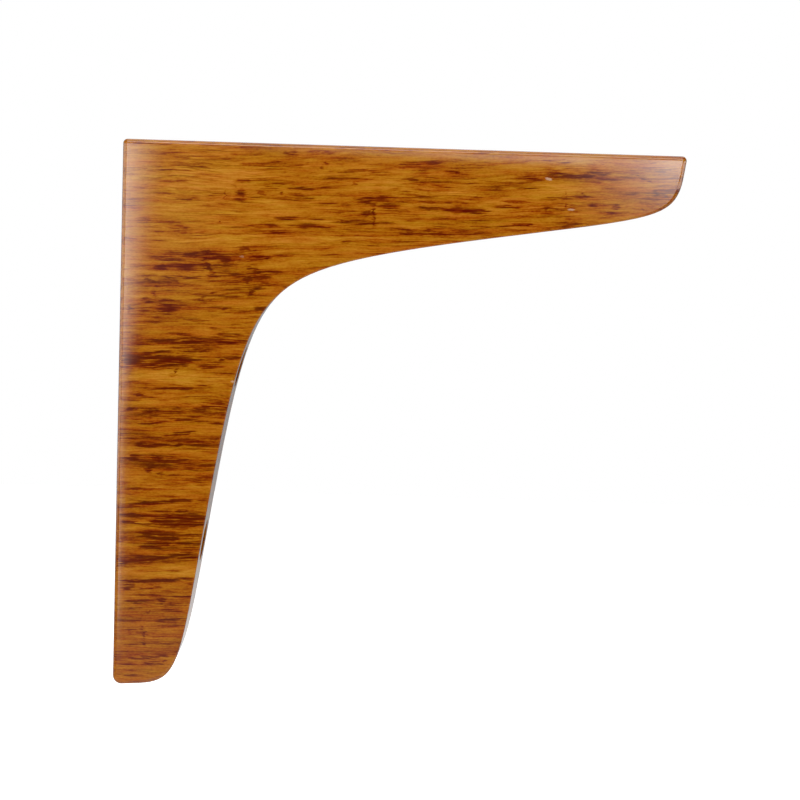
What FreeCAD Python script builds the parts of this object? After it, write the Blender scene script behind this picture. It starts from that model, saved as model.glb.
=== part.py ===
import FreeCAD, Part
import math
import os
from FreeCAD import Vector

# Gallows shelf bracket: one board of wood cut to an L, with a swept inner curve between two tapered arms.
# Frame: wall plane X = 0, middle of the board Y = 0, +Z up, Z = 0 midway between the two wall screws.

# Board and arms, millimetres and degrees
thickness = 26.0
shelf_length = 200.0  # wall plane to the shelf arm's tip
wall_length = 196.4  # shelf plane to the wall arm's tip
shelf_tip_depth = 20.5  # depth of the shelf arm where its straight taper meets the tip
wall_tip_depth = 22.8
arm_taper = 8.8  # angle between an arm's inner and outer edge
arm_straight = 26.5  # straight stretch of each inner edge, between the sweep and the tip curve

# Inner sweep
sweep_tension = 0.394  # how far along each flank the curve is held to the arm's line
sweep_fill = 6.9  # how far the curve's middle pole stands out of the corner of the two arm lines

# Tips and corners of the outline
tip_reach = 38.0  # length over which an arm's inner edge turns into its end
tip_fullness = 0.66  # 0.5 is a parabola, more is fuller
shelf_end_lean = 8.5
wall_end_lean = 3.5
shelf_end_flat = 7.4  # straight part of the shelf arm's end, with its corner
wall_end_flat = 9.4
heel_radius = 1.6  # where wall plane and shelf plane meet
shelf_corner_radius = 1.6
wall_corner_radius = 3.1

# Edges along the faces of the board
outer_round = 1.5  # round-over of the outer edges
inner_ease = 0.5  # eased edge of the inner sweep

# Screw holes, the same two in each arm
hole_end_margin = 51.9  # an arm's tip to its outer hole
hole_spacing = 64.0
screw_hole_diameter = 5.0
counterbore_diameter = 15.0
screw_land = 14.0  # wood left under the screw head

# Worked out from the sizes above
shelf_plane = wall_length - hole_end_margin - hole_spacing / 2
front = -thickness / 2
taper = math.radians(arm_taper)
out_along_shelf = Vector(math.cos(taper), 0, math.sin(taper))
down_along_wall = Vector(-math.sin(taper), 0, -math.cos(taper))


def at(out, down):
    """Point on the front face, measured out from the wall plane and down from the shelf plane."""
    return Vector(out, front, shelf_plane - down)


def meet(start, along, other_start, other_along):
    """Point where two lines in the plane of the front face meet."""
    gap = other_start - start
    turn = along.x * other_along.z - along.z * other_along.x
    return start + along * ((gap.x * other_along.z - gap.z * other_along.x) / turn)


def corner_arc(corner, back, ahead, radius):
    """Round a corner of the outline between the directions back and ahead.

    Returns the arc's first point, its edge and its last point.
    """
    half = back.getAngle(ahead) / 2
    setback = radius / math.tan(half)
    inward = (back + ahead).normalize()
    nearest = corner + inward * (radius / math.sin(half) - radius)
    first = corner + back * setback
    last = corner + ahead * setback
    return first, Part.Arc(first, nearest, last).toShape(), last


def conic(first, apex, last, fullness):
    """Edge from first to last, tangent there to the lines that meet at apex."""
    curve = Part.BezierCurve()
    curve.setPoles([first, apex, last])
    curve.setWeight(2, fullness / (1 - fullness))
    return curve.toShape()


def sweep(corner, shelf_reach, wall_reach):
    """Edge of the inner sweep: a cubic with one pole off the corner, tangent to both arm lines."""
    bisector = (out_along_shelf + down_along_wall).normalize()
    poles = [
        corner + out_along_shelf * shelf_reach,
        corner + out_along_shelf * (shelf_reach * sweep_tension),
        corner + bisector * sweep_fill,
        corner + down_along_wall * (wall_reach * sweep_tension),
        corner + down_along_wall * wall_reach,
    ]
    curve = Part.BSplineCurve()
    curve.buildFromPolesMultsKnots(poles, [4, 1, 4], [0, 0.5, 1], False, 3)
    return curve.toShape(), poles[0], poles[-1]


def outline():
    """Edges of the front face's outline, in order, with the radius of the board's edge at each end."""
    left = Vector(-1, 0, 0)
    up = Vector(0, 0, 1)
    shelf_lean = math.radians(shelf_end_lean)
    wall_lean = math.radians(wall_end_lean)
    down_end = Vector(-math.sin(shelf_lean), 0, -math.cos(shelf_lean))
    out_end = Vector(math.cos(wall_lean), 0, math.sin(wall_lean))
    heel = at(0, 0)
    shelf_end = at(shelf_length, 0)
    wall_end = at(0, wall_length)

    shelf_line = at(shelf_length, shelf_tip_depth)
    wall_line = at(wall_tip_depth, wall_length)
    inner_corner = meet(shelf_line, out_along_shelf, wall_line, down_along_wall)
    shelf_apex = meet(shelf_line, out_along_shelf, shelf_end, down_end)
    wall_apex = meet(wall_line, down_along_wall, wall_end, out_end)
    shelf_tip_start = shelf_apex - out_along_shelf * tip_reach
    wall_tip_start = wall_apex - down_along_wall * tip_reach
    shelf_reach = inner_corner.distanceToPoint(shelf_tip_start) - arm_straight
    wall_reach = inner_corner.distanceToPoint(wall_tip_start) - arm_straight

    heel_from, heel_edge, heel_to = corner_arc(heel, up * -1, left * -1, heel_radius)
    shelf_from, shelf_edge, shelf_to = corner_arc(shelf_end, left, down_end, shelf_corner_radius)
    wall_from, wall_edge, wall_to = corner_arc(wall_end, out_end, up, wall_corner_radius)
    shelf_flat_end = shelf_end + down_end * shelf_end_flat
    wall_flat_end = wall_end + out_end * wall_end_flat
    inner_edge, sweep_from, sweep_to = sweep(inner_corner, shelf_reach, wall_reach)

    full = (outer_round, outer_round)
    eased = (inner_ease, inner_ease)
    return [
        (heel_edge, full),
        (Part.makeLine(heel_to, shelf_from), full),
        (shelf_edge, full),
        (Part.makeLine(shelf_to, shelf_flat_end), full),
        (conic(shelf_flat_end, shelf_apex, shelf_tip_start, tip_fullness), (outer_round, inner_ease)),
        (Part.makeLine(shelf_tip_start, sweep_from), eased),
        (inner_edge, eased),
        (Part.makeLine(sweep_to, wall_tip_start), eased),
        (conic(wall_tip_start, wall_apex, wall_flat_end, tip_fullness), (inner_ease, outer_round)),
        (Part.makeLine(wall_flat_end, wall_from), full),
        (wall_edge, full),
        (Part.makeLine(wall_to, heel_from), full),
    ]


def middle(edge):
    """Point halfway along an edge."""
    return edge.valueAt((edge.FirstParameter + edge.LastParameter) / 2)


def edge_number(shape, spot):
    """Number, from 1, of the shape's edge whose middle is nearest to a point."""
    gaps = [middle(edge).distanceToPoint(spot) for edge in shape.Edges]
    return gaps.index(min(gaps)) + 1


def rounded_board():
    """The L of the outline at the board's thickness, with its front and back edges rounded."""
    stretches = outline()
    face = Part.Face(Part.Wire([edge for edge, radii in stretches]))
    across = Vector(0, thickness, 0)
    blank = face.extrude(across)

    document = FreeCAD.newDocument()
    board = document.addObject("Part::Feature")
    board.Shape = blank
    rounding = document.addObject("Part::Fillet")
    rounding.Base = board
    rounded_edges = []
    for drawn, radii in stretches:
        for spot in (middle(drawn), middle(drawn) + across):
            rounded_edges.append((edge_number(blank, spot), *radii))
    rounding.Edges = rounded_edges
    document.recompute()
    return rounding.Shape


def screw_hole(seat, inward):
    """Screw hole from a point on an arm's outer face, with a counterbore for the head on the inner side."""
    reach = max(shelf_length, wall_length)
    shank = Part.makeCylinder(screw_hole_diameter / 2, reach, seat, inward)
    counterbore = Part.makeCylinder(counterbore_diameter / 2, reach, seat + inward * screw_land, inward)
    return shank.fuse(counterbore)


def bracket():
    """The whole bracket: the rounded board with two screw holes drilled in each arm."""
    solid = rounded_board()
    for from_tip in (hole_end_margin, hole_end_margin + hole_spacing):
        wall_seat = Vector(0, 0, shelf_plane - (wall_length - from_tip))
        shelf_seat = Vector(shelf_length - from_tip, 0, shelf_plane)
        solid = solid.cut(screw_hole(wall_seat, Vector(1, 0, 0)))
        solid = solid.cut(screw_hole(shelf_seat, Vector(0, 0, -1)))
    return solid.Solids[0]


part = bracket()
print("valid", part.isValid(), "volume", round(part.Volume), "mm3")
os.makedirs("parts", exist_ok=True)
part.exportStep("parts/bracket.step")
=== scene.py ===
"""Gallows shelf bracket of lacquered, strand-pressed bamboo: its finish, a plain studio and the camera."""

import logging
import math
from dataclasses import dataclass
from enum import Enum
from typing import Any

import bpy
from mathutils import Matrix, Vector


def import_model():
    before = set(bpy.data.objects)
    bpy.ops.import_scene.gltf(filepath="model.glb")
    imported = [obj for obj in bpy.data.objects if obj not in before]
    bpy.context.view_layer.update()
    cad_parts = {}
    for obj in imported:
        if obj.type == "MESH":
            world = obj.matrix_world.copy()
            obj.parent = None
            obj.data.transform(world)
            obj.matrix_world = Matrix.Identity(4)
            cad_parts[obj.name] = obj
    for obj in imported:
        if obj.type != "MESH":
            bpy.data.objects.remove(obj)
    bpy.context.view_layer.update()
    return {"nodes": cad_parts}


LOG = logging.getLogger("gallows_bracket")
MM = 0.001


def linear(colour: str) -> tuple[float, float, float, float]:
    """Turn an sRGB hex colour into linear light.

    Args:
        colour: six hex digits after a hash sign.

    Returns:
        Red, green, blue and an alpha of one.
    """
    parts = [int(colour[place : place + 2], 16) / 255 for place in (1, 3, 5)]
    light = [part / 12.92 if part <= 0.04045 else ((part + 0.055) / 1.055) ** 2.4 for part in parts]
    return (light[0], light[1], light[2], 1.0)


def add_node(
    tree: bpy.types.NodeTree, kind: str, feeds: dict[Any, Any], **settings: Any
) -> bpy.types.Node:
    """Add a node with its settings and links.

    Args:
        tree: the node tree that takes the node.
        kind: the node's type name, without its ShaderNode prefix.
        feeds: for each input's name or number, a fixed value or the output socket that feeds it.
        settings: the node's own properties.

    Returns:
        The new node.
    """
    node = tree.nodes.new("ShaderNode" + kind)
    for name, value in settings.items():
        setattr(node, name, value)
    for place, value in feeds.items():
        if isinstance(value, bpy.types.NodeSocket):
            tree.links.new(value, node.inputs[place])
        else:
            node.inputs[place].default_value = value
    return node


def fill_ramp(ramp: bpy.types.ColorRamp, stops: list[tuple[float, tuple[float, ...]]]) -> None:
    """Set a colour ramp's stops.

    Args:
        ramp: the ramp, with fewer stops than are to be set.
        stops: place from zero to one, and linear colour, of each stop in rising order.
    """
    while len(ramp.elements) < len(stops):
        ramp.elements.new(0.5)
    for element, (where, colour) in zip(ramp.elements, stops):
        element.position = where
        element.color = colour


class Figure(Enum):
    """Kinds of figure in the pressed strands."""

    BAND = "a bundle of dark or clear fibre with hairy ends"
    LINE = "one thin fibre that tapers out at both ends"
    BLOT = "a crushed joint of the cane"
    NICK = "a small chip that shows pale wood"


class Seen(Enum):
    """Where a panel's light shows on a surface."""

    ALL = "in its colour and in its gloss"
    GLOSS = "in its gloss only"
    COLOUR = "in its colour only"


@dataclass(frozen=True)
class Mark:
    """One figure in the grain of the front face, in millimetres and degrees.

    It lies so far out from the wall plane and so far down from the shelf plane. Its shade is below zero
    where the wood is clearer than its ground.
    """

    out: float
    down: float
    length: float
    height: float
    shade: float
    rise: float = 0.0


@dataclass(frozen=True, kw_only=True)
class Fibre:
    """Noise drawn out along the grain: the size of its fibres in millimetres, and how it is made up.

    Its seat shifts it, so that no two noises are alike.
    """

    along: float
    across: float
    seat: float
    detail: float = 2.0
    roughness: float = 0.5


@dataclass(frozen=True, kw_only=True)
class Layer(Fibre):
    """One layer of grain, which darkens the wood by its share, or clears it where that is below zero.

    It shows from the noise's low level up to its high one. A skew above one leaves it mostly low.
    """

    share: float
    low: float = 0.35
    high: float = 0.75
    skew: float = 1.0


@dataclass(frozen=True, kw_only=True)
class Ruffle(Fibre):
    """How far fibres move what is drawn on them, in millimetres: along, through and up the board."""

    stray: tuple[float, float, float]


RUFFLES = {
    Figure.BAND: Ruffle(along=6.0, across=0.6, seat=5.0, stray=(10.0, 0.0, 1.6)),
    Figure.BLOT: Ruffle(along=2.6, across=0.7, seat=6.0, stray=(5.0, 0.0, 2.4), detail=3.0),
    Figure.LINE: Ruffle(along=9.0, across=3.0, seat=7.0, stray=(6.0, 0.0, 0.9)),
    Figure.NICK: Ruffle(along=1.0, across=0.6, seat=9.0, stray=(1.2, 0.0, 0.7)),
}

# How far in from its outline, as a share of its half width, a figure reaches its full shade.
# A line has no such core: it tapers all the way to its middle.
CORES = {Figure.BAND: 0.55, Figure.BLOT: 0.85, Figure.NICK: 0.55}

MARKS: dict[Figure, tuple[Mark, ...]] = {
    Figure.BAND: (
        # shelf arm, from the wall outwards
        Mark(46.5, 7.6, 11.0, 1.3, 0.28),
        Mark(21.5, 14.2, 6.0, 1.3, 0.32),
        Mark(53.0, 14.6, 9.0, 1.7, 0.30),
        Mark(52.5, 16.2, 7.0, 1.1, 0.30),
        Mark(61.0, 19.4, 17.0, 2.0, 0.36),
        Mark(60.5, 17.9, 7.0, 1.3, 0.30),
        Mark(59.0, 26.3, 10.0, 1.2, 0.44),
        Mark(49.5, 29.3, 12.0, 1.7, 0.36),
        Mark(67.0, 28.7, 15.0, 2.2, 0.38),
        Mark(12.5, 30.7, 7.0, 1.0, 0.30),
        Mark(20.0, 30.6, 7.0, 1.3, 0.42),
        Mark(71.0, 2.7, 10.0, 1.6, 0.25),
        Mark(80.0, 9.0, 17.0, 1.3, 0.36, 4.0),
        Mark(91.0, 8.9, 7.0, 1.1, 0.34),
        Mark(64.0, 15.6, 9.0, 1.0, 0.40),
        Mark(87.5, 18.8, 9.0, 2.0, 0.34),
        Mark(94.0, 21.0, 9.0, 1.5, 0.42),
        Mark(110.0, 21.4, 15.0, 1.4, 0.38),
        Mark(118.8, 21.5, 7.5, 2.9, 0.42),
        Mark(125.8, 21.8, 9.0, 2.0, 0.64),
        Mark(82.5, 26.9, 15.0, 2.1, 0.46),
        Mark(93.0, 26.7, 7.0, 1.0, 0.42),
        Mark(98.0, 28.9, 13.0, 1.1, 0.30),
        Mark(103.0, 30.5, 11.0, 1.0, 0.48),
        Mark(112.0, 30.2, 10.0, 0.9, 0.40),
        Mark(107.0, 5.0, 15.0, 1.5, 0.26, 3.0),
        Mark(102.0, 11.2, 7.0, 1.0, 0.46),
        Mark(146.0, 9.8, 10.0, 1.0, 0.36),
        Mark(153.0, 7.1, 8.0, 1.1, 0.50),
        Mark(159.0, 8.3, 14.0, 1.9, 0.46),
        Mark(169.5, 6.9, 9.0, 1.5, 0.34),
        Mark(184.5, 8.3, 7.0, 1.0, 0.32, -25.0),
        Mark(161.5, 15.6, 12.0, 1.3, 0.48, 3.0),
        Mark(152.5, 16.4, 9.0, 1.1, 0.36, 4.0),
        Mark(140.0, 17.9, 10.0, 1.3, 0.42),
        Mark(136.0, 19.8, 9.0, 1.3, 0.36),
        Mark(172.5, 20.9, 7.0, 1.1, 0.30),
        Mark(159.0, 24.8, 9.0, 1.9, 0.30),
        Mark(143.3, 25.8, 6.0, 1.1, 0.42),
        # heel, below the shelf arm
        Mark(16.5, 41.7, 11.0, 1.6, 0.36),
        Mark(33.2, 47.6, 4.0, 1.3, 0.42),
        Mark(6.0, 44.8, 8.0, 1.3, 0.34),
        Mark(50.0, 40.4, 6.5, 1.4, 0.46),
        Mark(50.5, 47.2, 7.0, 1.7, 0.36),
        Mark(52.0, 49.6, 5.0, 1.3, 0.34),
        Mark(20.0, 48.3, 12.0, 1.1, 0.36),
        Mark(16.5, 49.8, 7.0, 1.1, 0.40),
        Mark(17.0, 56.6, 7.0, 1.3, 0.44),
        Mark(27.0, 63.4, 9.0, 1.1, 0.36),
        # wall arm, downwards
        Mark(34.5, 66.3, 5.0, 1.1, 0.40),
        Mark(19.0, 71.4, 20.0, 1.8, 0.42),
        Mark(30.0, 69.7, 17.0, 1.7, 0.48),
        Mark(33.0, 71.3, 19.0, 1.6, 0.46),
        Mark(41.0, 68.3, 12.0, 1.5, 0.40),
        Mark(42.0, 70.6, 10.0, 1.3, 0.40),
        Mark(13.0, 78.7, 22.0, 5.6, 0.58),
        Mark(22.5, 77.7, 11.0, 3.4, 0.54),
        Mark(3.0, 80.0, 6.0, 9.0, 0.22),
        Mark(40.2, 76.5, 7.5, 1.6, 0.52),
        Mark(31.0, 80.0, 6.0, 1.8, 0.38),
        Mark(35.5, 79.6, 6.0, 1.1, 0.30),
        Mark(20.0, 88.2, 13.0, 1.0, 0.44, 3.0),
        Mark(35.0, 93.0, 8.0, 1.3, 0.40),
        Mark(31.0, 94.2, 6.0, 1.0, 0.36),
        Mark(21.5, 95.2, 5.0, 1.3, 0.32),
        Mark(28.5, 95.6, 8.0, 1.7, 0.42),
        Mark(31.5, 97.2, 7.0, 1.5, 0.40),
        Mark(14.5, 100.6, 9.0, 1.2, 0.48, 5.0),
        Mark(23.5, 99.1, 11.0, 1.1, 0.44),
        Mark(20.5, 104.7, 6.5, 1.4, 0.48, 8.0),
        Mark(24.5, 103.8, 7.0, 1.0, 0.36, 6.0),
        Mark(10.0, 109.3, 7.0, 1.1, 0.50),
        Mark(5.0, 113.6, 7.0, 1.2, 0.50),
        Mark(6.0, 112.4, 6.0, 0.9, 0.36),
        Mark(17.5, 116.0, 7.0, 1.1, 0.44),
        Mark(8.0, 130.5, 9.0, 1.5, 0.40, 3.0),
        Mark(16.0, 129.3, 13.0, 1.1, 0.44, 3.0),
        Mark(26.0, 128.4, 15.0, 1.4, 0.40),
        Mark(7.5, 134.4, 10.0, 1.7, 0.50),
        Mark(17.0, 134.5, 10.0, 1.5, 0.50),
        Mark(27.0, 134.3, 12.0, 2.7, 0.60),
        Mark(22.0, 136.4, 17.0, 1.7, 0.54),
        Mark(24.0, 132.0, 7.0, 1.1, 0.42),
        Mark(5.0, 137.0, 6.0, 1.3, 0.46),
        Mark(28.0, 136.8, 9.0, 1.3, 0.44),
        Mark(13.0, 140.7, 9.0, 1.5, 0.42),
        Mark(16.5, 142.4, 7.0, 1.3, 0.50),
        Mark(12.0, 141.8, 6.0, 1.3, 0.38),
        Mark(15.5, 144.4, 9.0, 1.1, 0.50),
        Mark(13.5, 145.7, 8.0, 1.0, 0.52),
        Mark(25.0, 148.6, 13.0, 2.1, 0.54),
        Mark(14.0, 149.4, 12.0, 1.2, 0.50, 2.0),
        Mark(8.0, 150.5, 9.0, 1.1, 0.44, 3.0),
        Mark(4.8, 151.8, 6.0, 1.5, 0.50),
        Mark(27.0, 147.5, 7.0, 1.1, 0.44),
        Mark(7.0, 158.2, 9.0, 1.5, 0.50),
        Mark(15.0, 157.8, 11.0, 1.3, 0.46, 2.0),
        Mark(23.5, 157.0, 11.0, 1.3, 0.48, 3.0),
        Mark(6.0, 165.7, 6.0, 1.3, 0.40),
        Mark(22.0, 166.8, 7.0, 2.5, 0.26),
        Mark(13.3, 185.9, 6.0, 1.4, 0.44),
        Mark(14.0, 188.4, 5.0, 1.0, 0.54),
        # smoky fibre between the crushed joints
        Mark(24.0, 44.6, 34.0, 3.4, 0.20),
        Mark(36.0, 40.4, 34.0, 3.0, 0.18),
        Mark(47.0, 47.0, 16.0, 6.0, 0.16),
        Mark(17.0, 58.6, 30.0, 4.4, 0.20),
        Mark(14.0, 51.0, 22.0, 4.0, 0.12),
        Mark(38.0, 53.6, 30.0, 4.0, 0.10),
        Mark(20.0, 96.6, 42.0, 5.0, 0.12),
        Mark(18.0, 107.8, 42.0, 3.4, 0.12),
        Mark(18.0, 116.0, 36.0, 5.0, 0.12),
        Mark(18.0, 135.4, 40.0, 6.0, 0.16),
        Mark(18.0, 143.0, 34.0, 7.0, 0.16),
        Mark(16.0, 149.4, 34.0, 3.6, 0.14),
        Mark(140.0, 22.0, 60.0, 6.0, 0.10),
        # clear runs, and the wall arm drawn darker towards its lower end
        Mark(60.0, 33.6, 90.0, 4.6, -0.16, 1.0),
        Mark(34.0, 10.8, 44.0, 4.0, -0.10),
        Mark(36.0, 24.2, 40.0, 3.2, -0.12),
        Mark(22.0, 84.4, 40.0, 4.8, -0.28),
        Mark(17.0, 110.8, 30.0, 2.0, -0.14),
        Mark(18.0, 122.0, 34.0, 6.0, -0.12),
        Mark(10.0, 136.6, 5.0, 1.4, -0.30),
        Mark(12.0, 138.6, 22.0, 1.6, -0.22),
        Mark(17.0, 154.2, 36.0, 4.2, -0.20),
        Mark(18.0, 73.6, 24.0, 1.6, -0.16),
        Mark(95.0, 13.4, 26.0, 3.6, -0.16),
        Mark(116.0, 15.8, 24.0, 4.0, -0.16),
        Mark(153.0, 12.8, 18.0, 3.4, -0.20),
        Mark(181.0, 11.5, 15.0, 6.0, -0.06),
        Mark(186.0, 10.0, 44.0, 14.0, 0.16),
        Mark(24.0, 9.0, 42.0, 26.0, -0.18),
        Mark(30.0, 22.0, 56.0, 34.0, -0.08),
        Mark(116.0, 18.0, 60.0, 12.0, -0.05),
        Mark(146.0, 20.5, 44.0, 7.0, -0.16),
        Mark(158.0, 5.0, 40.0, 7.0, -0.14),
        Mark(22.0, 95.0, 40.0, 8.0, -0.08),
        Mark(16.0, 112.0, 110.0, 108.0, 0.07),
        Mark(14.0, 182.0, 64.0, 40.0, 0.16),
    ),
    Figure.LINE: (
        # shelf arm, from the wall outwards
        Mark(6.2, 1.4, 5.0, 1.0, 0.30),
        Mark(30.0, 1.2, 10.0, 1.1, 0.28),
        Mark(15.5, 4.8, 11.0, 0.8, 0.32, 2.0),
        Mark(22.8, 6.1, 3.5, 0.7, 0.30),
        Mark(31.0, 6.7, 15.0, 0.9, 0.30, 3.0),
        Mark(12.0, 9.5, 11.0, 0.8, 0.36, 3.0),
        Mark(20.5, 8.7, 11.0, 0.8, 0.38, 2.0),
        Mark(42.0, 4.4, 19.0, 0.9, 0.30, 4.0),
        Mark(54.0, 4.6, 8.0, 0.9, 0.24),
        Mark(55.0, 6.9, 8.0, 1.2, 0.32, 4.0),
        Mark(58.0, 8.2, 24.0, 0.6, -0.50, 4.0),
        Mark(15.5, 14.9, 8.0, 0.9, 0.34),
        Mark(30.5, 13.4, 7.0, 0.8, 0.28),
        Mark(14.0, 19.0, 15.0, 0.9, 0.38),
        Mark(29.0, 22.8, 11.0, 0.9, 0.34),
        Mark(33.5, 16.5, 8.0, 0.9, 0.36),
        Mark(46.0, 20.9, 6.0, 0.8, 0.36),
        Mark(66.0, 15.6, 10.0, 0.9, 0.40),
        Mark(68.0, 26.3, 10.0, 0.8, 0.40),
        Mark(40.5, 30.0, 9.0, 0.7, 0.40),
        Mark(13.0, 32.4, 8.0, 1.0, 0.36),
        Mark(14.5, 26.8, 10.0, 1.1, 0.30),
        Mark(17.0, 29.0, 13.0, 0.7, 0.36),
        Mark(26.5, 28.3, 11.0, 0.8, 0.38, 2.0),
        Mark(40.0, 32.8, 13.0, 0.8, 0.32, 3.0),
        Mark(5.0, 21.0, 10.0, 0.8, 0.30),
        Mark(6.0, 10.2, 8.0, 0.7, 0.26),
        Mark(76.0, 11.7, 13.0, 1.0, 0.40, 3.0),
        Mark(86.0, 11.5, 15.0, 0.7, 0.36),
        Mark(72.0, 15.0, 9.0, 1.0, 0.36),
        Mark(76.0, 17.8, 13.0, 0.7, 0.32),
        Mark(77.0, 20.6, 17.0, 0.8, 0.38),
        Mark(68.0, 27.0, 15.0, 0.6, -0.46),
        Mark(85.5, 29.9, 11.0, 0.8, 0.48),
        Mark(123.0, 28.3, 15.0, 1.0, 0.38, 3.0),
        Mark(85.5, 31.6, 11.0, 0.6, 0.50),
        Mark(122.0, 6.6, 17.0, 1.0, 0.36, 4.0),
        Mark(116.0, 7.9, 4.0, 1.0, 0.36),
        Mark(106.0, 8.8, 7.0, 0.9, 0.30),
        Mark(112.0, 11.9, 11.0, 0.9, 0.46),
        Mark(123.0, 11.8, 16.0, 0.9, 0.48),
        Mark(124.5, 16.7, 6.0, 0.7, 0.40),
        Mark(108.0, 14.7, 19.0, 0.6, 0.32),
        Mark(104.0, 17.6, 24.0, 0.5, 0.30),
        Mark(108.0, 19.2, 16.0, 0.5, 0.30),
        Mark(116.0, 18.9, 4.0, 0.8, 0.34),
        Mark(116.0, 24.8, 10.0, 1.1, 0.30),
        Mark(133.0, 11.2, 7.0, 0.9, 0.46),
        Mark(141.0, 9.2, 15.0, 1.0, 0.40, 6.0),
        Mark(171.0, 9.0, 8.0, 0.9, 0.34),
        Mark(183.0, 2.5, 6.0, 0.6, 0.40),
        Mark(187.0, 2.5, 3.5, 0.7, 0.44),
        Mark(176.0, 3.7, 4.0, 0.6, 0.34),
        Mark(192.0, 14.0, 5.0, 0.7, 0.34, -20.0),
        Mark(138.0, 26.5, 11.0, 0.8, 0.50, 5.0),
        Mark(145.0, 23.0, 11.0, 0.9, 0.30),
        Mark(129.0, 27.0, 10.0, 1.0, 0.34),
        Mark(143.0, 13.1, 9.0, 0.6, 0.46, 1.0),
        Mark(132.0, 14.0, 13.0, 0.6, 0.34),
        Mark(128.0, 5.2, 8.0, 0.8, 0.32),
        Mark(172.0, 22.5, 13.0, 1.0, 0.34, 12.0),
        # heel, below the shelf arm
        Mark(14.5, 35.5, 10.0, 0.7, 0.36),
        Mark(25.0, 34.6, 11.0, 0.7, 0.34, 3.0),
        Mark(37.5, 35.8, 12.0, 0.7, 0.36, 4.0),
        Mark(21.5, 42.2, 5.0, 0.8, 0.46),
        Mark(36.0, 40.6, 5.0, 1.0, 0.42),
        Mark(57.0, 39.7, 8.0, 0.9, 0.46),
        Mark(53.0, 45.5, 10.0, 1.0, 0.42),
        Mark(37.5, 46.4, 8.0, 0.9, 0.44),
        Mark(9.0, 47.9, 7.0, 0.8, 0.36),
        Mark(23.0, 58.4, 6.0, 1.0, 0.42),
        Mark(9.0, 60.5, 9.0, 1.2, 0.34),
        Mark(34.0, 58.7, 13.0, 0.9, 0.30),
        Mark(39.5, 52.0, 10.0, 0.8, 0.38, 4.0),
        Mark(33.5, 53.5, 4.0, 0.8, 0.34, 20.0),
        Mark(39.0, 54.8, 8.0, 0.9, 0.34),
        Mark(49.0, 61.5, 7.0, 0.8, 0.38),
        Mark(48.0, 51.3, 4.0, 0.8, 0.42),
        # wall arm, downwards
        Mark(41.0, 65.9, 9.0, 0.8, 0.38),
        Mark(7.0, 69.0, 8.0, 0.8, 0.40),
        Mark(21.0, 68.4, 12.0, 1.1, 0.34),
        Mark(24.0, 70.5, 7.0, 0.6, -0.44),
        Mark(7.5, 72.6, 7.0, 0.7, 0.44),
        Mark(21.5, 73.5, 6.0, 0.8, 0.44),
        Mark(14.0, 75.2, 5.0, 1.0, 0.52),
        Mark(18.0, 75.2, 4.0, 0.9, 0.44),
        Mark(25.0, 74.8, 5.0, 0.8, 0.48),
        Mark(36.0, 78.5, 7.0, 0.8, 0.44),
        Mark(29.0, 86.7, 5.5, 0.7, 0.46),
        Mark(14.0, 88.4, 7.0, 0.8, 0.40),
        Mark(27.0, 87.8, 8.0, 0.7, 0.48),
        Mark(5.0, 92.8, 6.0, 0.8, 0.46),
        Mark(16.5, 92.6, 5.0, 0.9, 0.46),
        Mark(11.0, 91.5, 7.0, 0.7, 0.36),
        Mark(16.0, 98.2, 6.0, 0.9, 0.36),
        Mark(27.0, 97.9, 5.0, 0.8, 0.40),
        Mark(9.5, 101.2, 5.0, 0.9, 0.46),
        Mark(35.5, 100.2, 6.0, 1.1, 0.52),
        Mark(30.0, 99.6, 7.0, 0.8, 0.40),
        Mark(12.0, 105.9, 8.0, 0.9, 0.40),
        Mark(5.5, 106.4, 5.0, 0.8, 0.40),
        Mark(21.5, 106.6, 6.0, 1.1, 0.42, 6.0),
        Mark(17.0, 108.6, 9.0, 0.8, 0.48),
        Mark(31.0, 108.0, 12.0, 1.0, 0.50),
        Mark(33.5, 110.7, 8.0, 1.0, 0.40),
        Mark(21.0, 114.0, 9.0, 1.0, 0.44, 3.0),
        Mark(17.6, 117.3, 5.0, 0.9, 0.40),
        Mark(25.8, 117.0, 5.5, 1.0, 0.44),
        Mark(33.0, 115.4, 6.0, 1.1, 0.66, 4.0),
        Mark(32.0, 113.7, 8.0, 0.8, 0.40),
        Mark(31.0, 122.7, 4.6, 1.2, 0.38),
        Mark(7.5, 124.7, 9.0, 0.8, 0.38),
        Mark(17.5, 132.2, 9.0, 1.0, 0.50, 8.0),
        Mark(20.0, 137.3, 7.0, 0.9, 0.48),
        Mark(27.5, 140.6, 9.0, 0.8, 0.54, 5.0),
        Mark(27.5, 142.9, 8.0, 0.9, 0.46, 8.0),
        Mark(24.0, 144.0, 6.0, 0.9, 0.38),
        Mark(9.0, 161.0, 5.0, 0.8, 0.44),
        Mark(13.0, 160.7, 5.0, 0.8, 0.38),
        Mark(16.2, 160.1, 3.4, 0.9, 0.40),
        Mark(10.0, 163.2, 13.0, 0.8, 0.44),
        Mark(24.0, 163.3, 11.0, 1.1, 0.42),
        Mark(11.5, 165.1, 9.0, 0.9, 0.42),
        Mark(22.0, 168.6, 8.0, 0.9, 0.50),
        Mark(6.0, 167.9, 9.0, 0.8, 0.40),
        Mark(16.5, 172.4, 4.0, 1.2, 0.46),
        Mark(22.0, 171.8, 9.0, 1.0, 0.50, 3.0),
        Mark(5.5, 172.6, 9.0, 1.1, 0.42),
        Mark(6.0, 175.8, 8.0, 0.9, 0.48, 5.0),
        Mark(5.5, 177.5, 5.0, 0.9, 0.38),
        Mark(10.0, 177.1, 4.0, 0.8, 0.40),
        Mark(7.5, 181.6, 8.0, 0.8, 0.36),
        Mark(15.5, 178.8, 6.0, 0.8, 0.32),
        Mark(18.6, 185.4, 4.4, 0.8, 0.40),
        Mark(8.0, 186.5, 5.5, 1.0, 0.46),
        Mark(14.5, 187.4, 7.0, 0.6, 0.42),
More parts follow.
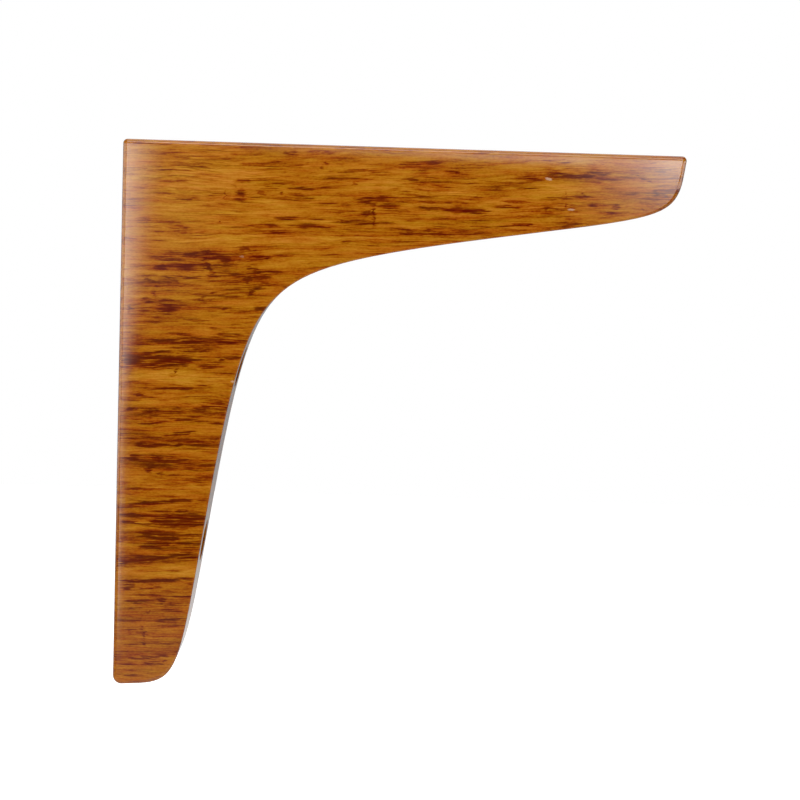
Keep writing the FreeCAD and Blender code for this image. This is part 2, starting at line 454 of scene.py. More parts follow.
        Mark(6.0, 188.8, 7.0, 0.7, 0.42),
        Mark(6.0, 192.6, 9.0, 0.8, 0.40),
    ),
    Figure.BLOT: (
        # shelf arm, from the wall outwards
        Mark(59.7, 3.8, 6.5, 2.6, 0.38),
        Mark(21.5, 17.3, 6.5, 2.6, 0.25),
        Mark(22.8, 20.5, 7.0, 2.1, 0.38),
        Mark(36.4, 18.3, 0.8, 5.2, 0.32),
        Mark(42.3, 13.7, 6.0, 2.0, 0.30),
        Mark(39.8, 15.4, 1.9, 1.6, 0.44),
        Mark(42.1, 17.7, 3.6, 3.4, 0.54),
        Mark(42.0, 20.5, 5.0, 1.6, 0.38),
        Mark(49.6, 17.8, 2.8, 1.7, 0.38),
        Mark(56.4, 17.5, 2.2, 1.5, 0.56),
        Mark(64.5, 22.0, 5.0, 1.8, 0.20),
        Mark(35.2, 28.3, 1.4, 1.1, 0.34),
        Mark(23.0, 32.5, 4.0, 3.2, 0.20),
        Mark(8.3, 28.5, 5.0, 6.4, 0.16),
        Mark(69.0, 1.6, 5.0, 1.6, 0.20),
        Mark(72.3, 6.5, 1.8, 1.1, 0.34),
        Mark(70.6, 8.0, 1.6, 1.0, 0.28),
        Mark(82.3, 13.1, 1.7, 1.6, 0.42),
        Mark(92.8, 18.2, 5.0, 2.6, 0.42),
        Mark(88.3, 20.2, 4.6, 1.8, 0.38),
        Mark(89.5, 24.8, 1.7, 7.2, 0.52),
        Mark(87.0, 23.7, 3.8, 2.3, 0.42),
        Mark(109.0, 29.0, 4.8, 1.2, 0.38),
        Mark(80.5, 34.0, 4.0, 1.2, 0.34),
        Mark(118.8, 7.9, 2.4, 1.8, 0.44),
        Mark(106.0, 12.2, 4.6, 1.6, 0.30),
        Mark(164.5, 8.0, 3.6, 2.2, 0.34),
        Mark(189.2, 13.5, 2.4, 3.0, 0.38),
        Mark(164.0, 14.6, 2.4, 1.3, 0.46),
        Mark(150.0, 19.9, 2.8, 1.5, 0.36),
        Mark(157.7, 18.7, 1.8, 1.7, 0.40),
        Mark(157.7, 14.4, 0.7, 2.9, 0.28),
        Mark(166.8, 18.2, 4.0, 1.8, 0.36),
        Mark(175.0, 18.5, 4.0, 2.1, 0.44),
        Mark(184.5, 19.3, 1.7, 1.2, 0.34),
        # heel, below the shelf arm
        Mark(25.0, 40.3, 5.6, 2.6, 0.44),
        Mark(30.0, 38.7, 3.6, 1.4, 0.46),
        Mark(31.3, 44.3, 8.2, 2.0, 0.54, -56.0),
        Mark(14.3, 45.1, 5.2, 2.3, 0.48),
        Mark(23.2, 44.7, 7.0, 2.5, 0.50),
        Mark(37.6, 41.9, 4.6, 2.6, 0.48),
        Mark(43.8, 37.5, 4.2, 1.9, 0.44),
        Mark(52.2, 40.6, 1.8, 1.3, 0.52),
        Mark(41.5, 39.4, 5.0, 2.8, 0.20),
        Mark(46.6, 44.5, 4.0, 1.5, 0.42),
        Mark(48.9, 45.4, 2.0, 1.7, 0.44),
        Mark(45.2, 48.6, 3.6, 3.0, 0.54),
        Mark(46.8, 53.2, 2.8, 3.2, 0.50),
        Mark(41.5, 46.9, 5.4, 2.1, 0.28),
        Mark(10.5, 49.7, 3.6, 1.0, 0.36),
        Mark(13.2, 52.2, 4.8, 1.4, 0.38),
        Mark(12.3, 54.6, 2.0, 2.1, 0.36),
        Mark(9.6, 56.9, 5.6, 2.4, 0.42),
        Mark(17.5, 59.3, 8.2, 3.1, 0.56),
        Mark(29.0, 56.2, 5.6, 2.1, 0.52),
        Mark(3.8, 60.2, 2.8, 1.6, 0.42),
        Mark(50.3, 58.5, 5.2, 2.2, 0.46),
        Mark(38.0, 58.8, 3.6, 1.4, 0.30),
        # wall arm, downwards
        Mark(24.0, 79.6, 2.8, 1.4, 0.30),
        Mark(20.7, 82.1, 1.4, 3.0, 0.54),
        Mark(19.3, 83.2, 3.0, 1.2, 0.54),
        Mark(36.7, 77.4, 2.6, 1.2, 0.44),
        Mark(29.5, 74.4, 5.6, 1.2, 0.44),
        Mark(8.0, 90.7, 4.0, 1.8, 0.42),
        Mark(5.0, 96.0, 3.6, 1.2, 0.46),
        Mark(11.0, 96.7, 3.6, 1.8, 0.40),
        Mark(14.0, 95.8, 3.0, 1.4, 0.38),
        Mark(35.0, 106.3, 4.6, 3.2, 0.22),
        Mark(8.7, 108.3, 4.0, 2.2, 0.36),
        Mark(22.0, 108.3, 2.6, 1.6, 0.52),
        Mark(14.7, 113.4, 3.6, 1.6, 0.46),
        Mark(12.3, 116.6, 4.8, 2.6, 0.52, 40.0),
        Mark(11.3, 118.0, 3.0, 1.2, 0.48),
        Mark(16.2, 119.0, 3.6, 1.8, 0.42),
        Mark(10.5, 129.6, 3.0, 1.4, 0.46),
        Mark(21.5, 142.2, 3.6, 1.8, 0.44),
        Mark(13.5, 150.3, 3.6, 1.0, 0.44),
        Mark(5.0, 160.4, 6.0, 2.8, 0.44),
        Mark(17.5, 165.0, 4.0, 1.6, 0.48),
        Mark(12.5, 169.3, 1.8, 1.4, 0.38),
        Mark(10.3, 175.1, 2.4, 2.0, 0.38),
        Mark(11.3, 177.4, 1.5, 5.0, 0.40),
        Mark(10.9, 181.1, 1.8, 1.6, 0.38),
        Mark(18.9, 187.1, 2.4, 1.4, 0.38),
    ),
    Figure.NICK: (
        Mark(151.0, 9.5, 2.4, 0.9, 0.6, -12.0),
        Mark(159.4, 20.0, 2.4, 0.8, 0.5),
        Mark(43.0, 40.3, 1.6, 0.9, 0.2),
        Mark(41.0, 85.0, 1.6, 0.8, 0.5),
    ),
}


@dataclass(frozen=True)
class LacqueredBamboo:
    """Strand-pressed bamboo: crushed cane laid in one direction, pressed, sawn and clear lacquered.

    The eye gets a honey-coloured ground, short dark dashes of fibre that run along the shelf arm, blots
    where the joints of the cane were crushed, and a hard thin gloss over it all. Sizes are in millimetres.
    Cane fibre is about 0.1 to 0.2 mm thick, finer than the picture can show, so threads and dashes are
    drawn two to four times as coarse.
    """

    # From the clearest wood to the darkest: the place of each colour on that scale.
    tones: tuple[tuple[float, str], ...] = (
        (0.0, "#CB882A"),
        (0.23, "#BD7718"),
        (0.385, "#AF650B"),
        (0.54, "#9A4D05"),
        (0.69, "#7D3402"),
        (0.846, "#6C2902"),
        (1.0, "#5E1E02"),
    )
    chip: str = "#E0C09A"
    ground: float = -0.30
    clearest: float = -0.5
    darkest: float = 0.8

    # Where the marks lie: the face that they are on, and how deep and how wide they are drawn.
    shelf_plane: float = 112.5
    front: float = -13.0
    figure_depth: float = 5.0
    margin: float = 1.3
    back_shift: tuple[float, float, float] = (-11.0, 0.0, 9.0)

    # The grain rises by a few degrees, and wavers.
    grain_rise: float = 1.8
    waver: Ruffle = Ruffle(along=45.0, across=22.0, seat=3.0, stray=(0.0, 3.2, 3.2))
    ripple: Ruffle = Ruffle(along=13.0, across=6.0, seat=8.0, stray=(0.0, 1.1, 1.1))

    # Fine dark fibre, the bundles that it gathers in, and how much shows in a bundle and between bundles.
    thread: Layer = Layer(along=22.0, across=0.38, seat=0.0, share=0.50, skew=2.0)
    dash: Layer = Layer(
        along=6.0, across=0.48, seat=17.0, share=0.44, detail=3.0, roughness=0.6, skew=2.0
    )
    bundle: Layer = Layer(
        along=24.0, across=3.0, seat=34.0, share=0.30, detail=4.0, roughness=0.62, skew=1.3
    )
    gathered: float = 1.7
    loose: float = 0.35
    calm: Mark = Mark(15.0, 186.0, 90.0, 60.0, 0.8)

    # Broad bands, specks and clear fibre.
    broad: Layer = Layer(along=70.0, across=12.0, seat=51.0, share=0.16)
    speck: Layer = Layer(along=1.1, across=0.42, seat=68.0, share=0.18, detail=1.0)
    clear: Layer = Layer(
        along=16.0, across=0.8, seat=85.0, share=-0.30, detail=3.0, roughness=0.6, skew=1.8
    )

    # Hairs break up a mark, and a part of its shade shows between them.
    hair: Layer = Layer(along=8.0, across=0.38, seat=31.0, share=2.1)
    unbroken: float = 0.3

    # The cane's own colour drifts between yellow and red from strand to strand.
    drift: Layer = Layer(along=16.0, across=1.4, seat=41.0, share=0.009, detail=3.0, low=0.3, high=0.7)
    true_hue: float = 0.5

    # The pressed fibre stands up a little under the lacquer, which is brushed out smooth.
    relief: float = 0.03
    relief_share: float = 0.2
    wood_roughness: float = 0.5
    lacquer_roughness: float = 0.035
    lacquer_ior: float = 1.5

    def drawn_noise(
        self, tree: bpy.types.NodeTree, grain: bpy.types.NodeSocket, fibre: Fibre
    ) -> bpy.types.Node:
        """Noise drawn out along the fibres.

        Args:
            tree: the material's nodes.
            grain: the place in the grain, in millimetres.
            fibre: the size of the fibres.

        Returns:
            The noise node.
        """
        feeds = {
            "Vector": grain,
            "Location": (fibre.seat, fibre.seat, fibre.seat),
            "Scale": (1 / fibre.along, 1 / fibre.across, 1 / fibre.across),
        }
        drawn = add_node(tree, "Mapping", feeds).outputs[0]
        feeds = {"Vector": drawn, "Scale": 1.0, "Detail": fibre.detail, "Roughness": fibre.roughness}
        return add_node(tree, "TexNoise", feeds)

    def fibres(
        self, tree: bpy.types.NodeTree, grain: bpy.types.NodeSocket, layer: Layer
    ) -> bpy.types.NodeSocket:
        """Level of one layer's fibres, from zero to one.

        Args:
            tree: the material's nodes.
            grain: the place in the grain, in millimetres.
            layer: the layer to draw.

        Returns:
            The level, mostly low where the layer is skewed.
        """
        noise = self.drawn_noise(tree, grain, layer)
        feeds = {"Value": noise.outputs[0], 1: layer.low, 2: layer.high, 3: 0.0, 4: 1.0}
        level = add_node(tree, "MapRange", feeds).outputs[0]
        return add_node(tree, "Math", {0: level, 1: layer.skew}, operation="POWER").outputs[0]

    def strayed(
        self,
        tree: bpy.types.NodeTree,
        place: bpy.types.NodeSocket,
        grain: bpy.types.NodeSocket,
        ruffle: Ruffle,
    ) -> bpy.types.NodeSocket:
        """Move a place by the three channels of a noise.

        Args:
            tree: the material's nodes.
            place: the place to move.
            grain: the place in the grain, where the noise is read.
            ruffle: the noise, and how far its whole range moves the place.

        Returns:
            The moved place.
        """
        noise = self.drawn_noise(tree, grain, ruffle)
        feeds = {0: noise.outputs["Color"], 1: (0.5, 0.5, 0.5)}
        swing = add_node(tree, "VectorMath", feeds, operation="SUBTRACT")
        feeds = {0: swing.outputs[0], 1: ruffle.stray, 2: place}
        return add_node(tree, "VectorMath", feeds, operation="MULTIPLY_ADD").outputs[0]

    def spot_level(
        self, tree: bpy.types.NodeTree, place: bpy.types.NodeSocket, mark: Mark
    ) -> bpy.types.NodeSocket:
        """Level of one mark: one at its middle, falling to zero at its outline.

        Args:
            tree: the material's nodes.
            place: the place in millimetres.
            mark: where the mark lies and how large it is.

        Returns:
            The level.
        """
        feeds = {
            "Vector": place,
            "Location": (mark.out, self.front, self.shelf_plane - mark.down),
            "Rotation": (0.0, math.radians(-mark.rise), 0.0),
            "Scale": (mark.length * self.margin / 2, self.figure_depth, mark.height * self.margin / 2),
        }
        local = add_node(tree, "Mapping", feeds, vector_type="TEXTURE").outputs[0]
        return add_node(tree, "TexGradient", {0: local}, gradient_type="SPHERICAL").outputs["Fac"]

    def marked(
        self,
        tree: bpy.types.NodeTree,
        figure: Figure,
        grain: bpy.types.NodeSocket,
        place: bpy.types.NodeSocket,
        total: Any,
    ) -> bpy.types.NodeSocket:
        """Add up the shade of all marks of one figure.

        Args:
            tree: the material's nodes.
            figure: the kind of mark.
            grain: the place in the grain, in millimetres.
            place: the place on the face, in millimetres.
            total: the shade so far.

        Returns:
            The shade with these marks.
        """
        spot = self.strayed(tree, place, grain, RUFFLES[figure])
        for mark in MARKS[figure]:
            level = self.spot_level(tree, spot, mark)
            if figure in CORES:
                feeds = {"Value": level, 1: 0.0, 2: CORES[figure], 3: 0.0, 4: 1.0}
                soft = add_node(tree, "MapRange", feeds, interpolation_type="SMOOTHSTEP", clamp=False)
                level = soft.outputs[0]
            feeds = {0: level, 1: mark.shade, 2: total}
            total = add_node(tree, "Math", feeds, operation="MULTIPLY_ADD").outputs[0]
        return total

    def grain_place(self, tree: bpy.types.NodeTree, place: bpy.types.NodeSocket) -> bpy.types.NodeSocket:
        """Place in the grain, which rises and wavers along the board.

        Args:
            tree: the material's nodes.
            place: the place on the bracket, in millimetres.

        Returns:
            The place in the grain, in millimetres.
        """
        rise = (0.0, math.radians(self.grain_rise), 0.0)
        turned = add_node(tree, "Mapping", {"Vector": place, "Rotation": rise}).outputs[0]
        grain = turned
        for ruffle in (self.waver, self.ripple):
            grain = self.strayed(tree, grain, turned, ruffle)
        return grain

    def face_place(self, tree: bpy.types.NodeTree, place: bpy.types.NodeSocket) -> bpy.types.NodeSocket:
        """Place on the front face, with the back of the board folded over onto it.

        The back is shifted first, so that it has the same kinds of figure in other places.

        Args:
            tree: the material's nodes.
            place: the place on the bracket, in millimetres.

        Returns:
            The place on the face, in millimetres.
        """
        through = add_node(tree, "SeparateXYZ", {0: place}).outputs["Y"]
        behind = add_node(tree, "Math", {0: through, 1: 0.0}, operation="GREATER_THAN").outputs[0]
        feeds = {0: behind, 1: self.back_shift, 2: place}
        shifted = add_node(tree, "VectorMath", feeds, operation="MULTIPLY_ADD").outputs[0]
        sides = add_node(tree, "SeparateXYZ", {0: shifted})
        depth = add_node(tree, "Math", {0: sides.outputs["Y"]}, operation="ABSOLUTE").outputs[0]
        folded = add_node(tree, "Math", {0: depth, 1: -1.0}, operation="MULTIPLY").outputs[0]
        feeds = {0: sides.outputs["X"], 1: folded, 2: sides.outputs["Z"]}
        return add_node(tree, "CombineXYZ", feeds).outputs[0]

    def streaks(
        self, tree: bpy.types.NodeTree, grain: bpy.types.NodeSocket, face: bpy.types.NodeSocket
    ) -> bpy.types.NodeSocket:
        """Darkness of the plain grain, before any mark.

        Dark fibre gathers in bundles, and the wood between them stays clear. The arm's lower end is calm.

        Args:
            tree: the material's nodes.
            grain: the place in the grain, in millimetres.
            face: the place on the face, in millimetres.

        Returns:
            The darkness, which is the ground's where there is no fibre.
        """
        bundles = self.fibres(tree, grain, self.bundle)
        feeds = {0: bundles, 1: self.gathered, 2: self.loose}
        gather = add_node(tree, "Math", feeds, operation="MULTIPLY_ADD").outputs[0]
        feeds = {0: self.spot_level(tree, face, self.calm), 1: -self.calm.shade, 2: 1.0}
        loud = add_node(tree, "Math", feeds, operation="MULTIPLY_ADD").outputs[0]
        gather = add_node(tree, "Math", {0: gather, 1: loud}, operation="MULTIPLY").outputs[0]
        fine: Any = 0.0
        for layer in (self.thread, self.dash):
            feeds = {0: self.fibres(tree, grain, layer), 1: layer.share, 2: fine}
            fine = add_node(tree, "Math", feeds, operation="MULTIPLY_ADD").outputs[0]
        feeds = {0: fine, 1: gather, 2: self.ground}
        total = add_node(tree, "Math", feeds, operation="MULTIPLY_ADD").outputs[0]
        feeds = {0: bundles, 1: self.bundle.share, 2: total}
        total = add_node(tree, "Math", feeds, operation="MULTIPLY_ADD").outputs[0]
        for layer in (self.broad, self.speck, self.clear):
            feeds = {0: self.fibres(tree, grain, layer), 1: layer.share, 2: total}
            total = add_node(tree, "Math", feeds, operation="MULTIPLY_ADD").outputs[0]
        return total

    def darkness(
        self,
        tree: bpy.types.NodeTree,
        grain: bpy.types.NodeSocket,
        face: bpy.types.NodeSocket,
        streaks: bpy.types.NodeSocket,
    ) -> bpy.types.NodeSocket:
        """Darkness of the grain with all its marks, which fine hairs break up.

        Args:
            tree: the material's nodes.
            grain: the place in the grain, in millimetres.
            face: the place on the face, in millimetres.
            streaks: the darkness of the plain grain.

        Returns:
            The darkness.
        """
        shade: Any = 0.0
        for figure in (Figure.BAND, Figure.BLOT, Figure.LINE):
            shade = self.marked(tree, figure, grain, face, shade)
        feeds = {0: self.fibres(tree, grain, self.hair), 1: self.hair.share, 2: self.unbroken}
        broken = add_node(tree, "Math", feeds, operation="MULTIPLY_ADD").outputs[0]
        feeds = {0: shade, 1: broken, 2: streaks}
        return add_node(tree, "Math", feeds, operation="MULTIPLY_ADD").outputs[0]

    def stained(
        self, tree: bpy.types.NodeTree, grain: bpy.types.NodeSocket, darkness: bpy.types.NodeSocket
    ) -> bpy.types.NodeSocket:
        """Colour of the wood.

        Args:
            tree: the material's nodes.
            grain: the place in the grain, in millimetres.
            darkness: the darkness of the grain with its marks.

        Returns:
            The colour.
        """
        feeds = {"Value": darkness, 1: self.clearest, 2: self.darkest, 3: 0.0, 4: 1.0}
        tone = add_node(tree, "MapRange", feeds).outputs[0]
        scale = add_node(tree, "ValToRGB", {"Fac": tone})
        fill_ramp(scale.color_ramp, [(where, linear(colour)) for where, colour in self.tones])
        noise = self.drawn_noise(tree, grain, self.drift)
        feeds = {
            "Value": noise.outputs[0],
            1: self.drift.low,
            2: self.drift.high,
            3: self.true_hue - self.drift.share,
            4: self.true_hue + self.drift.share,
        }
        hue = add_node(tree, "MapRange", feeds).outputs[0]
        return add_node(tree, "HueSaturation", {"Hue": hue, "Color": scale.outputs[0]}).outputs[0]

    def material(self) -> bpy.types.Material:
        """Build the node material.

        Returns:
            The lacquered bamboo.
        """
        made = bpy.data.materials.new("strand_bamboo_gloss_lacquer")
        made.use_nodes = True
        tree = made.node_tree
        tree.nodes.clear()
        metres = add_node(tree, "TexCoord", {}).outputs["Object"]
        scale = (1 / MM, 1 / MM, 1 / MM)
        place = add_node(tree, "Mapping", {"Vector": metres, "Scale": scale}).outputs[0]
        grain = self.grain_place(tree, place)
        face = self.face_place(tree, place)
        streaks = self.streaks(tree, grain, face)
        darkness = self.darkness(tree, grain, face, streaks)
        wood = self.stained(tree, grain, darkness)
        chips = self.marked(tree, Figure.NICK, grain, face, 0.0)
        feeds = {0: chips, 6: wood, 7: linear(self.chip)}
        chipped = add_node(tree, "Mix", feeds, data_type="RGBA")
        feeds = {"Height": streaks, "Strength": self.relief_share, "Distance": self.relief * MM}
        raised = add_node(tree, "Bump", feeds)
        # Clear coat over wood with no shine of its own: the eye gets one sharp reflection, of the lacquer.
        feeds = {
            "Base Color": chipped.outputs[2],
            "Roughness": self.wood_roughness,
            "IOR": self.lacquer_ior,
            "Specular IOR Level": 0.0,
            "Coat Weight": 1.0,
            "Coat Roughness": self.lacquer_roughness,
            "Coat IOR": self.lacquer_ior,
            "Normal": raised.outputs[0],
        }
        shader = add_node(tree, "BsdfPrincipled", feeds)
        add_node(tree, "OutputMaterial", {"Surface": shader.outputs[0]})
        return made


@dataclass
class Bracket:
    """The bracket itself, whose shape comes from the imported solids."""

    node: str = "bracket"
    finish: LacqueredBamboo = LacqueredBamboo()

    def dress(self, nodes: dict[str, bpy.types.Object]) -> bpy.types.Object:
        """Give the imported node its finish.

        Args:
            nodes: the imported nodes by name.

        Returns:
            The dressed object.
        """
        piece = nodes[self.node]
        finish = self.finish.material()
        for slot in piece.material_slots:
            slot.material = finish
        return piece


@dataclass(frozen=True, kw_only=True)
class Panel:
    """A soft light panel that faces the bracket, in metres, with glow for the light that it sends out.

    Its edges fade over the four widths in fades: left, right, bottom and top, to the power of falloff.
    Where narrow is given, the right edge fades over that width up to the share of the height in even, and
    flares from there to its full width at the top. Turn is in degrees.
    """

    name: str
    place: tuple[float, float, float]
    width: float
    height: float
    glow: float
    fades: tuple[float, float, float, float] = (0.1, 0.1, 0.1, 0.1)
    facing: tuple[float, float, float] = (0.0, 1.0, 0.0)
    seen: Seen = Seen.ALL
    turn: float = 0.0
    falloff: float = 2.0
    narrow: float | None = None
    even: float = 0.0


# Each panel hangs in a plane of its own, because panels in one plane would hide each other.
PANELS = (
    # Beside the camera: the hazes that the lacquer shows at its left edge, along its top and at its tip.
    Panel(
        name="left_panel",
        place=(-0.3005, -1.205, -0.11),
        width=0.4,
        height=0.54,
        glow=7.2,
        fades=(0.2, 0.047, 0.11, 0.03),
        narrow=0.008,
        even=0.49,
    ),
    Panel(
        name="top_panel",
        place=(-0.0425, -1.21, 0.192),
        width=0.745,
        height=0.125,
        glow=7.0,
        fades=(0.9, 0.07, 0.005, 0.03),
        turn=-1.2,
    ),
    Panel(
        name="right_panel",
        place=(0.353, -1.215, 0.149),
        width=0.24,
        height=0.208,
        glow=8.6,
        fades=(0.11, 0.03, 0.083, 0.03),
    ),
    Panel(
        name="veil_panel",
        place=(-0.1335, -1.22, 0.052),
        width=0.233,
        height=0.236,
        glow=0.5,
        fades=(0.05, 0.131, 0.074, 0.02),
    ),
    Panel(
        name="low_veil_panel",
        place=(-0.12, -1.225, -0.36),
        width=0.3,
        height=0.26,
        glow=0.2,
        fades=(0.05, 0.08, 0.05, 0.08),
    ),
    # Above, before and behind: the light that gives the wood its colour.
    Panel(
        name="key_panel",
        place=(0.1, -1.0, 0.95),
        width=1.2,
        height=0.9,
        glow=4.45,
        facing=(0.0, 0.74, -0.67),
    ),
    Panel(
        name="back_panel",
        place=(0.1, 1.0, 0.95),
        width=1.2,
        height=0.9,
        glow=5.2,
        facing=(0.0, -0.74, -0.67),
        seen=Seen.COLOUR,
    ),
    # To the sides and overhead: cards that only the gloss of the edges shows.
    Panel(
        name="left_card",
        place=(-0.72, -0.625, 0.005),
        width=1.95,
        height=0.35,
        glow=2.9,
        fades=(0.15, 0.1, 0.08, 0.05),
        facing=(1.0, 0.0, 0.0),
        seen=Seen.GLOSS,
        falloff=1.0,
    ),
    Panel(
        name="right_card",
        place=(0.95, -0.6, 0.03),
        width=1.6,
        height=0.4,
        glow=4.2,
        facing=(-1.0, 0.0, 0.0),
        seen=Seen.GLOSS,
    ),
    Panel(
        name="ceiling_card",
        place=(0.1, 0.3, 1.1),
        width=1.2,
        height=1.4,
        glow=1.6,
        facing=(0.0, 0.0, -1.0),
        seen=Seen.GLOSS,
    ),
)


@dataclass
class Studio:
    """Plain white room, in metres: a pale floor below the bracket, soft panels and a pale world."""

    white: str = "#FFFFFF"
    floor_colour: str = "#E6E5E3"
    floor_gloss_level: float = 0.2
    floor_middle: float = 0.1
    floor_drop: float = 0.35
    floor_near: float = 0.6
    floor_far: float = 2.4
    floor_width: float = 6.0
    # The room's light by direction: minus one away from the camera, one towards it, where it is dark.
    gap_towards: tuple[float, float, float] = (0.0, -0.995, 0.1)
    room: tuple[tuple[float, float], ...] = (
        (-1.0, 0.35),
        (-0.7, 0.35),
        (-0.2, 0.15),
        (0.5, 0.15),
        (0.9, 0.3),
        (0.94, 0.35),
        (0.957, 0.02),
    )
    panels: tuple[Panel, ...] = PANELS

    def floor_paint(self) -> bpy.types.Material:
        """Matt paint that shows white and keeps the bracket's shadow.

        Returns:
            The paint.
        """
        paint = bpy.data.materials.new("matt_white_floor_paint")
        paint.use_nodes = True
        tree = paint.node_tree
        tree.nodes.clear()
        ray = add_node(tree, "LightPath", {})
        # Rolled matt paint: the eye gets an even pale ground, with no grain or reflection.
        matt = add_node(tree, "BsdfDiffuse", {"Color": linear(self.floor_colour)})
        feeds = {
            0: ray.outputs["Is Glossy Ray"],
            1: self.floor_gloss_level,
            2: ray.outputs["Is Camera Ray"],
        }
        level = add_node(tree, "Math", feeds, operation="MULTIPLY_ADD")
        feeds = {"Color": linear(self.white), "Strength": level.outputs[0]}
        shine = add_node(tree, "Emission", feeds)
        both = add_node(tree, "AddShader", {0: matt.outputs[0], 1: shine.outputs[0]})
        # Seen from below, the floor is clear, so that it never hides the bracket.
        side = add_node(tree, "NewGeometry", {})
        clear = add_node(tree, "BsdfTransparent", {})
        feeds = {0: side.outputs["Backfacing"], 1: both.outputs[0], 2: clear.outputs[0]}
        shown = add_node(tree, "MixShader", feeds)
        add_node(tree, "OutputMaterial", {"Surface": shown.outputs[0]})
        return paint

    def build_floor(self) -> bpy.types.Object:
        """Lay the floor.

        Returns:
            The floor.
        """
        bpy.ops.object.select_all(action="DESELECT")
        middle = (self.floor_far - self.floor_near) / 2
        location = (self.floor_middle, middle, -self.floor_drop)
        bpy.ops.mesh.primitive_plane_add(size=1.0, location=location)
        floor = bpy.context.object
        floor.name = "studio_floor"
        floor.scale = (self.floor_width, self.floor_far + self.floor_near, 1.0)
        bpy.ops.object.transform_apply(location=True, rotation=True, scale=True)
        floor.data.materials.append(self.floor_paint())
        return floor

    def build_world(self) -> None:
        """Fill the world: white where the camera looks, dim behind the camera and pale elsewhere."""
        world = bpy.data.worlds.new("pale_room")
        bpy.context.scene.world = world
        world.use_nodes = True
        tree = world.node_tree
        tree.nodes.clear()
        place = add_node(tree, "TexCoord", {})
        feeds = {0: place.outputs["Generated"], 1: self.gap_towards}
        near = add_node(tree, "VectorMath", feeds, operation="DOT_PRODUCT")
        feeds = {"Value": near.outputs["Value"], 1: -1.0, 2: 1.0, 3: 0.0, 4: 1.0}
        ahead = add_node(tree, "MapRange", feeds)
        room = add_node(tree, "ValToRGB", {"Fac": ahead.outputs[0]})
        stops = [((direction + 1.0) / 2, (level, level, level, 1.0)) for direction, level in self.room]
        fill_ramp(room.color_ramp, stops)
        ray = add_node(tree, "LightPath", {})
        feeds = {0: room.outputs[0], 1: ray.outputs["Is Camera Ray"]}
        strength = add_node(tree, "Math", feeds, operation="MAXIMUM")
        feeds = {"Color": linear(self.white), "Strength": strength.outputs[0]}
        sky = add_node(tree, "Background", feeds)
        add_node(tree, "OutputWorld", {"Surface": sky.outputs[0]})

    def soften(self, tree: bpy.types.NodeTree, panel: Panel) -> None:
        """Give a lamp soft edges.

        Args:
            tree: the lamp's nodes.
            panel: the size of the lamp and how its edges fade.
        """
        tree.nodes.clear()
        place = add_node(tree, "TexCoord", {})
        parts = add_node(tree, "SeparateXYZ", {0: place.outputs["UV"]})
        left, right, bottom, top = panel.fades
        full = 1.0 - right / panel.width
        outer: Any = 1.0
        if panel.narrow is not None:
            inner = full + panel.narrow / panel.width
            feeds = {"Value": parts.outputs["Y"], 1: panel.even, 2: 1.0, 3: inner, 4: 1.0}
            outer = add_node(tree, "MapRange", feeds).outputs[0]
        edges = (
            ("X", 0.0, left / panel.width),
            ("X", outer, full),
            ("Y", 0.0, bottom / panel.height),
            ("Y", 1.0, 1.0 - top / panel.height),
        )
        level: Any = 1.0
        for side, start, end in edges:
            feeds = {"Value": parts.outputs[side], 1: start, 2: end, 3: 0.0, 4: 1.0}
            edge = add_node(tree, "MapRange", feeds)
            feeds = {0: edge.outputs[0], 1: level}
            level = add_node(tree, "Math", feeds, operation="MULTIPLY").outputs[0]
        level = add_node(tree, "Math", {0: level, 1: panel.falloff}, operation="POWER").outputs[0]
        glow = add_node(tree, "Emission", {"Color": linear(self.white), "Strength": level})
        add_node(tree, "OutputLight", {"Surface": glow.outputs[0]})

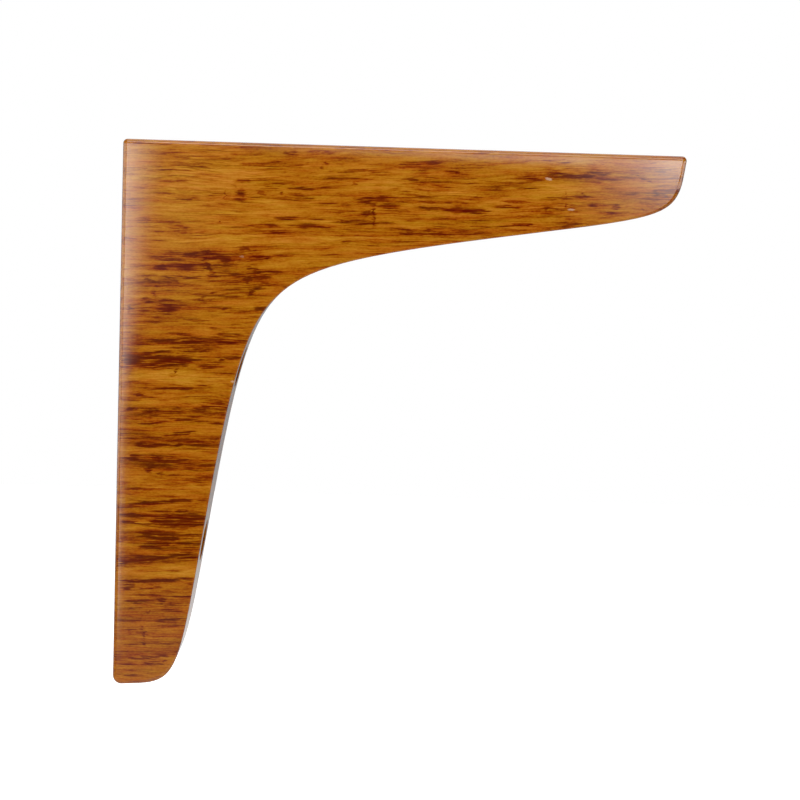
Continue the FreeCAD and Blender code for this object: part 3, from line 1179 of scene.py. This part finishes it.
    def hang(self, panel: Panel) -> bpy.types.Object:
        """Hang one panel.

        Args:
            panel: its place, size and glow.

        Returns:
            The lamp.
        """
        light = bpy.data.lights.new(panel.name, "AREA")
        light.shape = "RECTANGLE"
        light.size = panel.width
        light.size_y = panel.height
        light.energy = panel.glow * math.pi * panel.width * panel.height
        light.use_nodes = True
        self.soften(light.node_tree, panel)
        lamp = bpy.data.objects.new(panel.name, light)
        bpy.context.scene.collection.objects.link(lamp)
        lamp.visible_diffuse = panel.seen is not Seen.GLOSS
        lamp.visible_glossy = panel.seen is not Seen.COLOUR
        facing = Vector(panel.facing).to_track_quat("-Z", "Y").to_matrix().to_4x4()
        turned = facing @ Matrix.Rotation(math.radians(panel.turn), 4, "Z")
        lamp.matrix_world = Matrix.Translation(Vector(panel.place)) @ turned
        return lamp

    def build(self) -> None:
        """Build the floor, the world and the panels."""
        LOG.info("stage %s", self.build_floor().name)
        self.build_world()
        for panel in self.panels:
            LOG.info("lamp %s", self.hang(panel).name)


@dataclass
class PhotoCamera:
    """Camera at the photograph's viewpoint, in millimetres and radians, for a square image.

    What it sees starts and ends at the two distances in clip, in metres.
    """

    place: tuple[float, float, float] = (96.38, -792.66, 97.03)
    focal_pixels: float = 2190.92
    image_pixels: float = 800.0
    yaw: float = -0.00570
    pitch: float = 0.09492
    roll: float = -0.03183
    sensor: float = 36.0
    clip: tuple[float, float] = (0.05, 100.0)

    def build(self) -> bpy.types.Object:
        """Make the camera and set it as the scene's own.

        Returns:
            The camera object.
        """
        right = Vector((math.cos(self.yaw), math.sin(self.yaw), 0.0))
        ahead = Vector(
            (
                -math.sin(self.yaw) * math.cos(self.pitch),
                math.cos(self.yaw) * math.cos(self.pitch),
                -math.sin(self.pitch),
            )
        )
        down = ahead.cross(right)
        across = right * math.cos(self.roll) + down * math.sin(self.roll)
        drop = down * math.cos(self.roll) - right * math.sin(self.roll)
        data = bpy.data.cameras.new("photo_camera")
        data.sensor_width = self.sensor
        data.lens = self.focal_pixels / self.image_pixels * self.sensor
        data.clip_start, data.clip_end = self.clip
        camera = bpy.data.objects.new("photo_camera", data)
        bpy.context.scene.collection.objects.link(camera)
        turn = Matrix((across, -drop, -ahead)).transposed().to_4x4()
        camera.matrix_world = Matrix.Translation(Vector(self.place) * MM) @ turn
        bpy.context.scene.camera = camera
        return camera


def main() -> None:
    """Dress the bracket, then build the studio and the camera."""
    logging.basicConfig(level=logging.INFO, format="%(name)s: %(message)s")
    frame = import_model()
    bpy.context.scene.view_settings.view_transform = "Standard"
    camera = PhotoCamera().build()
    LOG.info("camera %s", camera.name)
    piece = Bracket().dress(frame["nodes"])
    LOG.info("piece %s dressed in %s", piece.name, piece.material_slots[0].material.name)
    Studio().build()


if __name__ == "__main__":
    main()
